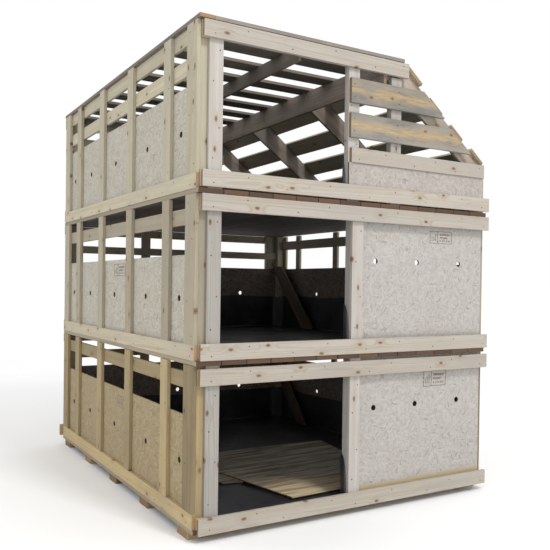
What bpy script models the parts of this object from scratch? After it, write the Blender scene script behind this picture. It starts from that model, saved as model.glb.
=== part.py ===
"""Three-tier timber crate for carrying livestock by air.

Three slatted pens are stacked on skids. Each pen has a boarded deck with a black liner, a door opening
on the left half of its front, and an OSB panel on the right half. The upper pen slopes on its right side.
Metres, +Z up, the front faces -Y, and the origin is the middle of the base.
"""
import bpy
import bmesh
from math import hypot
from mathutils import Vector

# Overall size.
WIDTH = 2.360            # across the side boards
DEPTH = 2.753            # front rail face to back rail face
HEIGHT = 2.984           # underside of the skids to the top of the roof boards
GAP = 0.0003             # clearance between touching nodes

# Sawn timber sections.
BOARD = 0.022            # thickness of rails, front studs and slats
SIDE_BOARD = 0.024       # thickness of the boards on the two sides
RAIL = 0.096             # height of a rail or slat
STUD = 0.090             # width of a front stud
SIDE_STUD = 0.107        # width of a side stud
CORNER_BOARD = 0.133     # width of the board at each end of a side
POST = 0.050             # depth of a corner post
POST_WIDTH = 0.076
BEAM = 0.158             # depth of the ridge beam, and height of a weathered slat
OSB = 0.011
LINER = 0.004
HOLE = 0.038             # air hole diameter
HOLE_SEGMENTS = 20
DRILL_LENGTH = 0.2

# Levels: underside and top of each deck, underside of the bottom front rail, top of the top front rail,
# top of the tier, underside of the wall slat and top of the side panel.
TIERS = (
    dict(name="lower", deck=(0.0483, 0.0763), rail_low=0.0455, rail_high=0.9880, top=1.0057,
         slat=0.860, osb=0.702, liner=0.310),
    dict(name="middle", deck=(1.0060, 1.0340), rail_low=1.0343, rail_high=1.9815, top=1.9827,
         slat=1.815, osb=1.640, liner=0.325),
    dict(name="upper", deck=(1.9830, 2.0110), rail_low=2.0205, rail_high=2.9580, top=2.9617,
         slat=2.686, osb=2.619, liner=0.200),
)
SIDE_RAIL = 0.088        # height of the bottom rail on a side
ROOF_UNDERSIDE = 2.9620

# Planes, from the outside in.
LEFT, RIGHT = -WIDTH / 2, WIDTH / 2
FRONT, BACK = -DEPTH / 2, DEPTH / 2
SIDE_IN = WIDTH / 2 - SIDE_BOARD                 # back of the side boards
FRONT_STUD = FRONT + BOARD                       # face of the front studs
FRONT_OSB = FRONT_STUD + BOARD                   # face of the front panel
FRONT_IN = FRONT_OSB + OSB                       # back of the front panel
SIDE_FRONT = FRONT_OSB - 0.0135                  # front edge of the left corner board
RIGHT_FRONT = FRONT_OSB + 0.0325                 # front edge of the right corner board
RAIL_LEFT = LEFT + SIDE_BOARD + 0.006            # left end of the front rails
PANEL_RIGHT = 1.148                              # right edge of the front panels
RIGHT_POST_BACK = FRONT_IN + GAP + POST
BACK_POST = -FRONT_OSB - POST - GAP
POST_IN = SIDE_IN - POST_WIDTH - GAP             # half the clear width between the posts

# Front studs (left edges); the jamb and its post differ a little on each tier.
STUD_X = -1.105
JAMB_X = dict(lower=-0.066, middle=-0.061, upper=-0.106)
JAMB_WIDTH = dict(lower=0.088, middle=0.096, upper=0.088)
JAMB_POST = dict(lower=POST, middle=POST, upper=BOARD)
MID_STUD_X = 0.250
FRONT_HOLES = (0.152, 0.520, 0.920)
FRONT_HOLE_Z = dict(lower=0.667, middle=1.635)

# Sides: front edges of the four studs. The right wall has narrower studs, and its slat sits higher.
LEFT_STUDS = (-0.983, -0.341, 0.277, 0.876)
RIGHT_STUDS = (-0.876, -0.256, 0.364, 0.984)
RIGHT_STUD = 0.070
RIGHT_CORNER = 0.107     # width of the right wall's rear corner board
RIGHT_SLAT_UP = 0.026

# Back: left edges of the studs, and the narrow boards of the lower and middle tiers.
BACK_STUDS = (-1.105, -0.442, 0.257, 0.957)
BACK_RAIL = 0.074        # height of their top rail
BACK_SLAT = 0.067        # height of their slat
BACK_SLAT_UP = 0.704     # underside of that slat above the deck

# Air holes.
LEFT_HOLES = (-1.092, -0.560, 0.062, 0.655, 1.112)
RIGHT_HOLES = (-1.092, -0.560, 0.062, 0.675, 1.205)
BACK_HOLES = (-0.750, -0.050, 0.650)
HOLE_UP = dict(lower=0.348, middle=0.350, upper=0.347)      # above the deck
LOWER_HOLE_SHIFT = -0.030

# Base.
SKID_TOP = 0.048
SKID_WIDTH = 0.140
SKID_COUNT = 5
SKID_FIRST, SKID_LAST = -1.210, 1.225            # middles of the first and last skids
DECK_BOARDS = 14
KERF = 0.005                                     # saw kerf between two deck boards
KERF_WEB = 0.006                                 # wood left under a kerf

# Braces beside the right wall: front of the foot, length of the foot, rise over run, and height of the top.
BRACES = dict(lower=(0.690, 0.155, 1.20, 0.640), middle=(0.601, 0.185, 1.10, 0.625))
BRACE_OFF_POST = 0.006   # clear of the corner post's liner

# Plywood lying in the lower pen.
SHEET = 0.009
SHEET_CORNERS = ((-0.365, -1.157), (0.550, -1.115), (0.772, 0.061), (-0.629, 0.112))
OFFCUT_CORNERS = ((-0.605, -0.647), (-0.455, -0.678), (-0.330, -0.260), (-0.820, -0.200))

# The slope on the right of the upper tier, along its outer face.
SLOPE_TOP = Vector((0.403, 2.960))
SLOPE_END = Vector((1.142, 2.377))
SLOPE_CLEAR = 0.004                              # under the slope slats
UPPER_RAIL_RIGHT = 0.384
MID_RAIL = (2.259, 2.353)
MID_STUD_DEPTH = 0.045
UPPER_PANEL_RIGHT = 1.116
WEATHERED_Z = (2.418, 2.638)
WEATHERED_CUT = (0.063, 0.055)                   # how far their sawn ends stay below the slope
SLOPE_SLATS = ((0.000, 0.166, -1.3520), (0.287, 0.441, -1.3290), (0.546, 0.696, -1.3320),
               (0.789, 0.941, -1.3480))
SLAT_BACK = BACK - 0.006
RAFTERS = 4
RAFTER_FOOT = SIDE_IN - BOARD - 0.002
FRONT_RAFTER_BACK = 0.028                        # behind the front studs
RIDGE_X = 0.185
RAFTER_DROP = BOARD + 0.0008                     # top of the rafters below the slope's outer face

# Roof boards over the flat part.
ROOF_RIGHT = 0.345
ROOF_END_BOARD = 0.125
ROOF_BOARD = 0.140
ROOF_BOARDS = 8
ROOF_FIRST_BACK = -0.960                         # back edge of the first board behind the front one
ROOF_PITCH = 0.294
JOIST_X = -0.450

COLOURS = dict(
    pine_front=(0.66, 0.58, 0.49),
    pine_side=(0.50, 0.46, 0.35),
    pine_ochre=(0.42, 0.34, 0.20),
    osb=(0.60, 0.54, 0.45),
    weathered_board=(0.34, 0.31, 0.26),
    deck_boards=(0.23, 0.12, 0.06),
    plywood=(0.25, 0.19, 0.11),
    liner_membrane=(0.012, 0.013, 0.016),
)


def clear_scene():
    for old in list(bpy.data.objects):
        bpy.data.objects.remove(old, do_unlink=True)


def material(name, roughness=0.85):
    mat = bpy.data.materials.get(name)
    if mat:
        return mat
    mat = bpy.data.materials.new(name)
    mat.use_nodes = True
    shader = mat.node_tree.nodes["Principled BSDF"]
    shader.inputs["Base Color"].default_value = (*COLOURS[name], 1.0)
    shader.inputs["Roughness"].default_value = roughness
    shader.inputs["Metallic"].default_value = 0.0
    return mat


def add_object(name, bm, mat=None):
    mesh = bpy.data.meshes.new(name)
    bm.to_mesh(mesh)
    bm.free()
    obj = bpy.data.objects.new(name, mesh)
    bpy.context.scene.collection.objects.link(obj)
    if mat:
        mesh.materials.append(mat)
    return obj


def solid(name, boxes, mat, holes=()):
    """One closed mesh from boxes that touch or overlap, less the boxes in holes.

    A box is its (low, high) on each axis. Space is cut into cells along every face of every box, and a
    face is kept where a filled cell meets an empty one, so boxes that touch have no wall between them.
    """
    cuts = [sorted({v for b in (*boxes, *holes) for v in b[axis]}) for axis in range(3)]

    def cells(b):
        spans = [range(cuts[a].index(b[a][0]), cuts[a].index(b[a][1])) for a in range(3)]
        return ((i, j, k) for i in spans[0] for j in spans[1] for k in spans[2])

    filled = set()
    for b in boxes:
        filled.update(cells(b))
    for b in holes:
        filled.difference_update(cells(b))

    bm = bmesh.new()
    corners = {}

    def corner(i, j, k):
        if (i, j, k) not in corners:
            corners[i, j, k] = bm.verts.new((cuts[0][i], cuts[1][j], cuts[2][k]))
        return corners[i, j, k]

    for cell in sorted(filled):
        for axis in range(3):
            for side in (0, 1):
                near = list(cell)
                near[axis] += 1 if side else -1
                if tuple(near) in filled:
                    continue
                u, v = [a for a in range(3) if a != axis]
                ring = []
                for du, dv in ((0, 0), (1, 0), (1, 1), (0, 1)):
                    at = list(cell)
                    at[axis] += side
                    at[u] += du
                    at[v] += dv
                    ring.append(corner(*at))
                bm.faces.new(ring)
    bmesh.ops.recalc_face_normals(bm, faces=bm.faces[:])
    bmesh.ops.dissolve_limit(bm, angle_limit=0.001, verts=bm.verts[:], edges=bm.edges[:])
    return add_object(name, bm, mat)


def prism(name, outline, axis, low, high, mat):
    """An outline on two axes, drawn out along the third from low to high."""
    bm = bmesh.new()
    u, v = [a for a in range(3) if a != axis]
    ring = []
    for a, b in outline:
        at = [0.0, 0.0, 0.0]
        at[u], at[v], at[axis] = a, b, low
        ring.append(bm.verts.new(at))
    made = bmesh.ops.extrude_face_region(bm, geom=[bm.faces.new(ring)])
    shift = [0.0, 0.0, 0.0]
    shift[axis] = high - low
    far = [g for g in made["geom"] if isinstance(g, bmesh.types.BMVert)]
    bmesh.ops.translate(bm, vec=shift, verts=far)
    bmesh.ops.recalc_face_normals(bm, faces=bm.faces[:])
    return add_object(name, bm, mat)


def combine(obj, others, operation):
    """Join or cut obj with helper objects, which are then removed."""
    for other in others:
        other.hide_render = True
        other.display_type = "WIRE"
        mod = obj.modifiers.new(other.name, "BOOLEAN")
        mod.operation = operation
        mod.solver = "EXACT"
        mod.object = other
    graph = bpy.context.evaluated_depsgraph_get()
    graph.update()
    mesh = bpy.data.meshes.new_from_object(obj.evaluated_get(graph))
    obj.modifiers.clear()
    old = obj.data
    obj.data = mesh
    bpy.data.meshes.remove(old)
    for other in others:
        bpy.data.objects.remove(other, do_unlink=True)


def drill(obj, centres, axis):
    """Round air holes through a panel, along X (axis 0) or Y (axis 1)."""
    along = Vector([float(a == axis) for a in range(3)])
    turn = Vector((0, 0, 1)).rotation_difference(along).to_matrix()
    drills = []
    for number, centre in enumerate(centres):
        bm = bmesh.new()
        bmesh.ops.create_cone(bm, cap_ends=True, segments=HOLE_SEGMENTS, radius1=HOLE / 2,
                              radius2=HOLE / 2, depth=DRILL_LENGTH)
        bmesh.ops.rotate(bm, cent=(0, 0, 0), matrix=turn, verts=bm.verts[:])
        bmesh.ops.translate(bm, vec=centre, verts=bm.verts[:])
        drills.append(add_object(f"drill_{obj.name}_{number}", bm))
    combine(obj, drills, "DIFFERENCE")


def slope_fall():
    run = SLOPE_END - SLOPE_TOP
    return run.y / run.x


def slope_z(x, drop):
    """Height at x of the line parallel to the slope's outer face and drop below it, square to it."""
    fall = slope_fall()
    return SLOPE_TOP.y - drop * hypot(1.0, fall) + fall * (x - SLOPE_TOP.x)


def slope_x(z, drop):
    """The x at which that line reaches height z."""
    fall = slope_fall()
    return SLOPE_TOP.x + (z - SLOPE_TOP.y + drop * hypot(1.0, fall)) / fall


def skids(mat):
    x = (LEFT + 0.008, RIGHT - 0.008)
    for number in range(SKID_COUNT):
        y = SKID_FIRST + (SKID_LAST - SKID_FIRST) * number / (SKID_COUNT - 1)
        solid(f"skid_{number + 1}", [(x, (y - SKID_WIDTH / 2, y + SKID_WIDTH / 2), (0.0, SKID_TOP))], mat)


def deck(tier, mat):
    """Boards that run front to back. A saw kerf from above and below parts each from the next."""
    low, high = tier["deck"]
    left, right = LEFT + 0.004, RIGHT - 0.030
    pitch = (right - left + KERF) / DECK_BOARDS
    web_low, web_high = (low + high - KERF_WEB) / 2, (low + high + KERF_WEB) / 2
    top, bottom = [], []
    for number in range(DECK_BOARDS):
        start = left + number * pitch
        stop = start + pitch - KERF
        top += [(start, high), (stop, high)]
        bottom += [(start, low), (stop, low)]
        if number < DECK_BOARDS - 1:
            top += [(stop, web_high), (stop + KERF, web_high)]
            bottom += [(stop, web_low), (stop + KERF, web_low)]
    front = FRONT_STUD + GAP if tier["name"] == "lower" else FRONT + 0.002
    prism(f"{tier['name']}_deck", top + bottom[::-1], 1, front, -front, mat)


def liner(tier, mat):
    """A black membrane over the deck, turned up the walls and around the corner posts."""
    low = tier["deck"][1] + GAP
    high = low + tier["liner"]
    side = SIDE_IN - OSB - 2 * GAP
    near, far = RIGHT_POST_BACK + GAP, BACK_POST - GAP
    behind_panel, back_panel = FRONT_IN + GAP, -FRONT_IN - GAP
    if tier["name"] == "upper":
        behind_panel = FRONT_STUD + MID_STUD_DEPTH + GAP
    jamb = JAMB_X[tier["name"]]
    door = (STUD_X + STUD + GAP, jamb - GAP)
    plan = [
        ((-side, side), (near, far)),
        ((-POST_IN, POST_IN), (near, back_panel)),
        ((jamb + STUD, POST_IN), (behind_panel, far)),
    ]
    boxes = [(x, y, (low, high)) for x, y in plan]
    boxes.append((door, (FRONT_STUD + GAP, near), (low, low + LINER)))
    holes = []
    for x, y in plan:
        holes.append(((x[0] + LINER, x[1] - LINER), (y[0] + LINER, y[1] - LINER), (low + LINER, high)))
    holes.append((door, (near, near + LINER), (low + LINER, high)))
    solid(f"{tier['name']}_liner", boxes, mat, holes)


def is_low_side(tier, mirror):
    """The right side of the upper tier stops under the slope."""
    return tier["name"] == "upper" and mirror


def side_frame(tier, mirror, mat):
    """Bottom rail, corner boards and studs outside, a slat and two posts inside."""
    def across(low, high):
        return (-high, -low) if mirror else (low, high)

    low, top = tier["deck"][1] + GAP, tier["top"]
    slat = (tier["slat"], tier["slat"] + RAIL)
    studs, stud, rear = (LEFT_STUDS, SIDE_STUD, CORNER_BOARD)
    if mirror:
        studs, stud, rear = (RIGHT_STUDS, RIGHT_STUD, RIGHT_CORNER)
        slat = (tier["slat"] + RIGHT_SLAT_UP, tier["slat"] + RIGHT_SLAT_UP + SIDE_RAIL)
    if is_low_side(tier, mirror):
        top = slope_z(RIGHT, BOARD + SLOPE_CLEAR)
        slat = (top - RAIL, top)
    front = RIGHT_FRONT if mirror else SIDE_FRONT
    post_face = FRONT_IN + GAP if mirror else FRONT_OSB + GAP
    outer = across(LEFT, -SIDE_IN)
    inner = across(-SIDE_IN, -SIDE_IN + BOARD)
    post = across(-SIDE_IN, -SIDE_IN + POST_WIDTH)
    between = (post_face + POST, BACK_POST)
    rail_top = low + SIDE_RAIL
    boxes = [(outer, (front, -SIDE_FRONT), (low, rail_top)), (inner, between, slat)]
    boxes.append((outer, (front, front + CORNER_BOARD), (rail_top, top)))
    boxes.append((outer, (-SIDE_FRONT - rear, -SIDE_FRONT), (rail_top, top)))
    for y in studs:
        boxes.append((outer, (y, y + stud), (rail_top, top)))
    for y in (post_face, BACK_POST):
        under_rafter = is_low_side(tier, mirror) and y == post_face
        post_top = slope_z(RAFTER_FOOT, RAFTER_DROP + RAIL) - 0.002 if under_rafter else top
        boxes.append((post, (y, y + POST), (low, post_top)))
    if not mirror:
        for z in (max(low, tier["rail_low"]), tier["rail_high"] - RAIL):
            packer = ((-SIDE_IN, STUD_X - GAP), (FRONT_STUD + GAP, post_face), (z, z + RAIL))
            boxes.append(packer)
        if tier["name"] == "upper":
            boxes.append((inner, between, (top - RAIL + GAP, top)))
    solid(f"{tier['name']}_{'right' if mirror else 'left'}_frame", boxes, mat)


def side_panel(tier, mirror, mat):
    """An OSB sheet behind the studs, with one air hole in each bay."""
    floor = tier["deck"][1]
    x = (SIDE_IN - OSB - GAP, SIDE_IN - GAP) if mirror else (-SIDE_IN + GAP, -SIDE_IN + OSB + GAP)
    near = RIGHT_POST_BACK if mirror else FRONT_OSB + POST + GAP
    top = tier["osb"]
    if is_low_side(tier, mirror):
        top = slope_z(RIGHT, BOARD + SLOPE_CLEAR) - RAIL - GAP
    name = f"{tier['name']}_{'right' if mirror else 'left'}_osb"
    panel = solid(name, [(x, (near + GAP, BACK_POST - GAP), (floor + GAP, top))], mat)
    if is_low_side(tier, mirror):
        return
    shift = LOWER_HOLE_SHIFT if tier["name"] == "lower" else 0.0
    holes = RIGHT_HOLES if mirror else LEFT_HOLES
    z = floor + HOLE_UP[tier["name"]]
    drill(panel, [(sum(x) / 2, y + shift, z) for y in holes], 0)


def front_frame(tier, mat, weathered, osb):
    """Rails, studs and panel of the front: the door opening is left of the jamb."""
    name = tier["name"]
    upper = name == "upper"
    floor, top = tier["deck"][1] + GAP, tier["top"]
    face = (FRONT, FRONT_STUD)
    studs = (FRONT_STUD + GAP, FRONT_OSB - GAP)
    high = (tier["rail_high"] - RAIL, tier["rail_high"])
    low = (tier["rail_low"], tier["rail_low"] + RAIL)
    solid(f"{name}_front_top_rail", [((RAIL_LEFT, UPPER_RAIL_RIGHT if upper else RIGHT), face, high)], mat)
    solid(f"{name}_front_bottom_rail", [((RAIL_LEFT, RIGHT), face, low)], mat)
    solid(f"{name}_front_left_stud", [((STUD_X, STUD_X + STUD), studs, (floor, top))], mat)
    jamb = JAMB_X[name]
    solid(f"{name}_door_jamb", [
        ((jamb, jamb + JAMB_WIDTH[name]), studs, (floor, top)),
        ((jamb, jamb + POST), (studs[1], FRONT_OSB + JAMB_POST[name]), (floor, top)),
    ], mat)
    if upper:
        upper_front(jamb, low[1], floor, mat, weathered, osb)
        return
    panel = solid(f"{name}_front_osb", [((jamb + POST + GAP, PANEL_RIGHT), (FRONT_OSB, FRONT_IN),
                                         (floor, top))], osb)
    drill(panel, [(x, FRONT_OSB + OSB / 2, FRONT_HOLE_Z[name]) for x in FRONT_HOLES], 1)


def upper_front(jamb, low_rail_top, floor, mat, weathered, osb):
    """Middle stud and rail, a panel between two rails, and weathered slats with ends sawn to the slope."""
    face = (FRONT, FRONT_STUD)
    left = jamb + 0.004
    stud = (MID_STUD_X, MID_STUD_X + STUD)
    stud_top = slope_z(stud[1], BOARD + RAIL + SLOPE_CLEAR)
    depth = (FRONT_STUD + GAP, FRONT_STUD + MID_STUD_DEPTH)
    solid("upper_middle_stud", [(stud, depth, (floor, stud_top))], mat)
    solid("upper_front_osb", [((jamb, UPPER_PANEL_RIGHT), (FRONT_STUD - OSB, FRONT_STUD),
                               (low_rail_top + GAP, MID_RAIL[0] - GAP))], osb)
    solid("upper_middle_rail", [((left + 0.008, SLOPE_END.x - 0.020), face, MID_RAIL)], mat)
    for number, (z, cut) in enumerate(zip(WEATHERED_Z, WEATHERED_CUT), start=1):
        outline = [(left, z), (slope_x(z, cut), z), (slope_x(z + BEAM, cut), z + BEAM), (left, z + BEAM)]
        prism(f"upper_weathered_slat_{number}", outline, 1, *face, weathered)


def back_frame(tier, mat, osb):
    """Rails, studs and a slat across the back, and its panel. The upper one follows the slope."""
    name = tier["name"]
    upper = name == "upper"
    floor, top = tier["deck"][1] + GAP, tier["top"]
    face = (BACK - BOARD, BACK)
    end = WIDTH / 2 + (0.025 if name == "lower" else -0.004)
    low = max(floor, tier["rail_low"])
    under = BOARD + RAIL + SLOPE_CLEAR
    top_rail = ((0.004 - WIDTH / 2, WIDTH / 2 - 0.004), face, (top - 0.002 - BACK_RAIL, top - 0.002))
    slat = (floor + BACK_SLAT_UP, floor + BACK_SLAT_UP + BACK_SLAT)
    if upper:
        top_rail = ((-end, UPPER_RAIL_RIGHT), face, (tier["rail_high"] - RAIL, tier["rail_high"]))
        slat = (tier["slat"], tier["slat"] + RAIL)
    boxes = [top_rail, ((-end, end), face, (low, low + RAIL))]
    for x in BACK_STUDS:
        stud_top = min(top, slope_z(x + STUD, under)) if upper else top
        width = STUD if upper or x < BACK_STUDS[-1] else CORNER_BOARD
        boxes.append(((x, x + width), (BACK - 2 * BOARD, BACK - BOARD), (floor, stud_top)))
    slat_right = slope_x(slat[1], under) - 0.002 if upper else POST_IN
    boxes.append(((-POST_IN, slat_right), (BACK - 3 * BOARD, BACK - 2 * BOARD), slat))
    solid(f"{name}_back_frame", boxes, mat)
    y = (BACK - 2 * BOARD - OSB, BACK - 2 * BOARD - GAP)
    if upper:
        panel_top = tier["osb"]
        outline = [(-POST_IN, floor), (POST_IN, floor), (POST_IN, slope_z(POST_IN, under) - 0.002),
                   (slope_x(panel_top, under) - 0.002, panel_top), (-POST_IN, panel_top)]
        prism(f"{name}_back_osb", outline, 1, y[0], y[1], osb)
        return
    panel = solid(f"{name}_back_osb", [((-POST_IN, POST_IN), y, (floor, tier["osb"]))], osb)
    drill(panel, [(x, sum(y) / 2, floor + HOLE_UP[name]) for x in BACK_HOLES], 1)


def brace(tier, mat):
    """A plank on edge inside the right wall, leaning from the floor to the back, with a level top."""
    foot, width, lean, rise = BRACES[tier["name"]]
    floor = tier["deck"][1] + LINER + 2 * GAP
    inside = POST_IN - BRACE_OFF_POST
    back = -FRONT_IN - GAP - 1.5 * LINER
    top = floor + rise
    outline = [(foot, floor), (foot + width, floor), (back, floor + (back - foot - width) * lean),
               (back, top), (foot + rise / lean, top)]
    prism(f"{tier['name']}_brace", outline, 0, inside - BOARD, inside, mat)


def loose_sheets(tier, mat):
    """A plywood sheet lying askew on the liner, over a smaller offcut."""
    floor = tier["deck"][1] + LINER + 2 * GAP
    prism("loose_offcut", OFFCUT_CORNERS, 2, floor, floor + SHEET, mat)
    prism("loose_sheet", SHEET_CORNERS, 2, floor + SHEET + GAP, floor + 2 * SHEET + GAP, mat)


def roof(mat):
    """Boards across the flat part of the roof, on a cap board at the left, with a joist underneath."""
    cap = LEFT + RAIL
    z = (ROOF_UNDERSIDE, HEIGHT)
    edges = [(FRONT, FRONT + ROOF_END_BOARD), (BACK - ROOF_END_BOARD, BACK)]
    for number in range(ROOF_BOARDS):
        far = ROOF_FIRST_BACK + number * ROOF_PITCH
        edges.append((far - ROOF_BOARD, far))
    boxes = [((LEFT, cap), (FRONT, BACK), z)]
    boxes += [((cap, ROOF_RIGHT), y, z) for y in edges]
    reach = -FRONT_OSB - POST - 3 * GAP
    boxes.append(((JOIST_X, JOIST_X + BOARD), (-reach, reach), (ROOF_UNDERSIDE - RAIL, ROOF_UNDERSIDE)))
    solid("roof_boards", boxes, mat)


def slope_frame(mat):
    """A ridge beam along the crate, and rafters down the slope joined to it."""
    top = ROOF_UNDERSIDE - GAP
    beam = RIDGE_X + BOARD
    start = FRONT_STUD + GAP
    thick = BOARD - 2 * GAP
    ends = (start + 0.001, -start - 0.001)
    frame = solid("slope_frame", [((RIDGE_X, beam), ends, (top - BEAM, top))], mat)
    root, rafter_top, tail = beam - 0.001, top - 0.0005, top - RAIL
    outline = [
        (root, rafter_top),
        (slope_x(top, RAFTER_DROP), rafter_top),
        (RAFTER_FOOT, slope_z(RAFTER_FOOT, RAFTER_DROP)),
        (RAFTER_FOOT, slope_z(RAFTER_FOOT, RAFTER_DROP + RAIL)),
        (slope_x(tail, RAFTER_DROP + RAIL), tail),
        (root, tail),
    ]
    rafters = []
    first = start + FRONT_RAFTER_BACK
    for number in range(RAFTERS):
        y = first + (-start - thick - first) * number / (RAFTERS - 1)
        rafters.append(prism(f"rafter_{number}", outline, 1, y, y + thick, mat))
    combine(frame, rafters, "UNION")


def slope_slats(mat):
    """Four boards along the slope. Each is sawn off a little differently at the front."""
    run = (SLOPE_END - SLOPE_TOP).normalized()
    inward = Vector((run.y, -run.x)) * BOARD
    for number, (start, stop, front) in enumerate(SLOPE_SLATS, start=1):
        upper, lower = SLOPE_TOP + run * start, SLOPE_TOP + run * stop
        outline = [upper, lower, lower + inward, upper + inward]
        prism(f"slope_slat_{number}", outline, 1, front, SLAT_BACK, mat)


def build():
    clear_scene()
    pale, grey, ochre = material("pine_front"), material("pine_side"), material("pine_ochre")
    osb = material("osb")
    skids(ochre)
    for tier in TIERS:
        walls = ochre if tier["name"] == "lower" else grey
        deck(tier, material("deck_boards"))
        liner(tier, material("liner_membrane", 0.45))
        front_frame(tier, pale, material("weathered_board"), osb)
        for mirror in (False, True):
            side_frame(tier, mirror, walls)
            side_panel(tier, mirror, osb)
        back_frame(tier, walls, osb)
        if tier["name"] != "upper":
            brace(tier, walls)
    loose_sheets(TIERS[0], material("plywood", 0.7))
    roof(grey)
    slope_frame(grey)
    slope_slats(grey)


build()
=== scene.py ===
"""Looks of a three-tier timber livestock crate: every board with its own grain, knots, nails and wear.

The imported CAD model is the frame. Each framed wall, deck and roof is shown as its separate boards, the
OSB panels keep their CAD shape, and the liners are membranes laid over the decks and turned up the walls.
"""
import math
import random

import bmesh
import bpy
from mathutils import Matrix, Vector


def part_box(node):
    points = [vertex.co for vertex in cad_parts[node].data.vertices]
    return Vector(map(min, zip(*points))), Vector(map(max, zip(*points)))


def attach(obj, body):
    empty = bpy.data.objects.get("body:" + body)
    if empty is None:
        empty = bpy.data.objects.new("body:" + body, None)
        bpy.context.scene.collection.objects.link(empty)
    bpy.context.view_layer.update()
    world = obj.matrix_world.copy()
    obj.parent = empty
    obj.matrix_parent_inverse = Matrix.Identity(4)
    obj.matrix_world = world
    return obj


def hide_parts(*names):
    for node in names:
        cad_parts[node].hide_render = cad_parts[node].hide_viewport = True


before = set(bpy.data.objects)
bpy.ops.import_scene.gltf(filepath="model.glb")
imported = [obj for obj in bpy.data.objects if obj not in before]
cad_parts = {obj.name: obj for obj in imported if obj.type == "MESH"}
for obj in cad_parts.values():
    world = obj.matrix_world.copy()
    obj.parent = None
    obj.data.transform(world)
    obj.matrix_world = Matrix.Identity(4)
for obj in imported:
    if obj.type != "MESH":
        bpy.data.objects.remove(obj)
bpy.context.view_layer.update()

# Board sizes and places that a joined CAD node doesn't give by its box.
BOARD = 0.022
SIDE_BOARD = 0.024
RAIL = 0.096
STUD = 0.090
SIDE_STUD = 0.107
CORNER_BOARD = 0.133
POST = 0.050
POST_WIDTH = 0.076
SIDE_RAIL = 0.088
BEAM = 0.158
GAP = 0.0003
LEFT_STUDS = (-0.983, -0.341, 0.277, 0.876)
RIGHT_STUDS = (-0.876, -0.256, 0.364, 0.984)
RIGHT_STUD = 0.070
RIGHT_CORNER = 0.107
RIGHT_SLAT_UP = 0.026
BACK_STUDS = (-1.105, -0.442, 0.257, 0.957)
BACK_RAIL = 0.074
BACK_SLAT = 0.067
BACK_SLAT_UP = 0.704
DECK_BOARDS = 14
KERF = 0.005
ROOF_BOARDS = 8
ROOF_END_BOARD = 0.125
ROOF_BOARD = 0.140
ROOF_FIRST_BACK = -0.960
ROOF_PITCH = 0.294
JOIST_X = -0.450
RAFTERS = 4
FRONT_RAFTER_BACK = 0.028
SMALL = 0.001                    # reach when CAD points are looked up by place
TIERS = ("lower", "middle", "upper")
BODY = {"lower": "lower_tier", "middle": "middle_tier", "upper": "upper_tier"}
WEATHERED_LOW = 2.418            # bottom of the lower weathered slat
WEATHERED_PITCH = 0.220
LINER_RISE = 0.31                # of the upper liner up the walls
LINER_WAVE = 0.05                # spacing of the points along a liner's edge
LINER_FLAP = 0.008               # the same where it starts, beside the door
LIP_POINTS = 24
SLAT_Z = {"lower": 0.860, "middle": 1.815, "upper": 2.686}

# Lightness of the left wall's bottom rail and front corner board, on the scale of the tone attribute.
SIDE_TONES = {"lower": (1.3, -0.35), "middle": (2.0, 0.25), "upper": (1.0, 0.25)}
# Painted light: the front rafter is paler all over, for its lit front face.
FRONT_RAFTER_LIT_TONE = 3.2
ROOF_EDGE_TONE = 2.6
JAMB_TONE = 0.9
RAIL_TONES = {"bottom": 0.8, "top": 0.5}
LEFT_STUD_TONES = {"lower": -0.4, "middle": -0.4, "upper": 1.0}

# The photograph's view.
CAMERA_PLACE = (-2.842, -4.7644, 1.4696)
HEADING = 0.509
PITCH = -0.0089
ROLL = 0.0130
LENS = 44.19
SENSOR = 36.0
SHIFT = (0.0776, 0.0281)

# Planes shared by the tiers, read from the frame.
LOW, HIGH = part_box("middle_left_frame")
LEFT = LOW.x
SIDE_IN = -LEFT - SIDE_BOARD
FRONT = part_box("middle_front_top_rail")[0].y
FRONT_STUD = FRONT + BOARD
FRONT_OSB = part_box("middle_front_osb")[0].y
FRONT_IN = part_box("middle_front_osb")[1].y
BACK = -FRONT
CORNER_BACK = HIGH.y
CORNER_FRONT = {"left": -HIGH.y, "right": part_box("middle_right_frame")[0].y}
POST_BACK = -FRONT_OSB - POST - GAP

draw = random.Random(41)


# ---------------------------------------------------------------- node helpers

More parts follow.
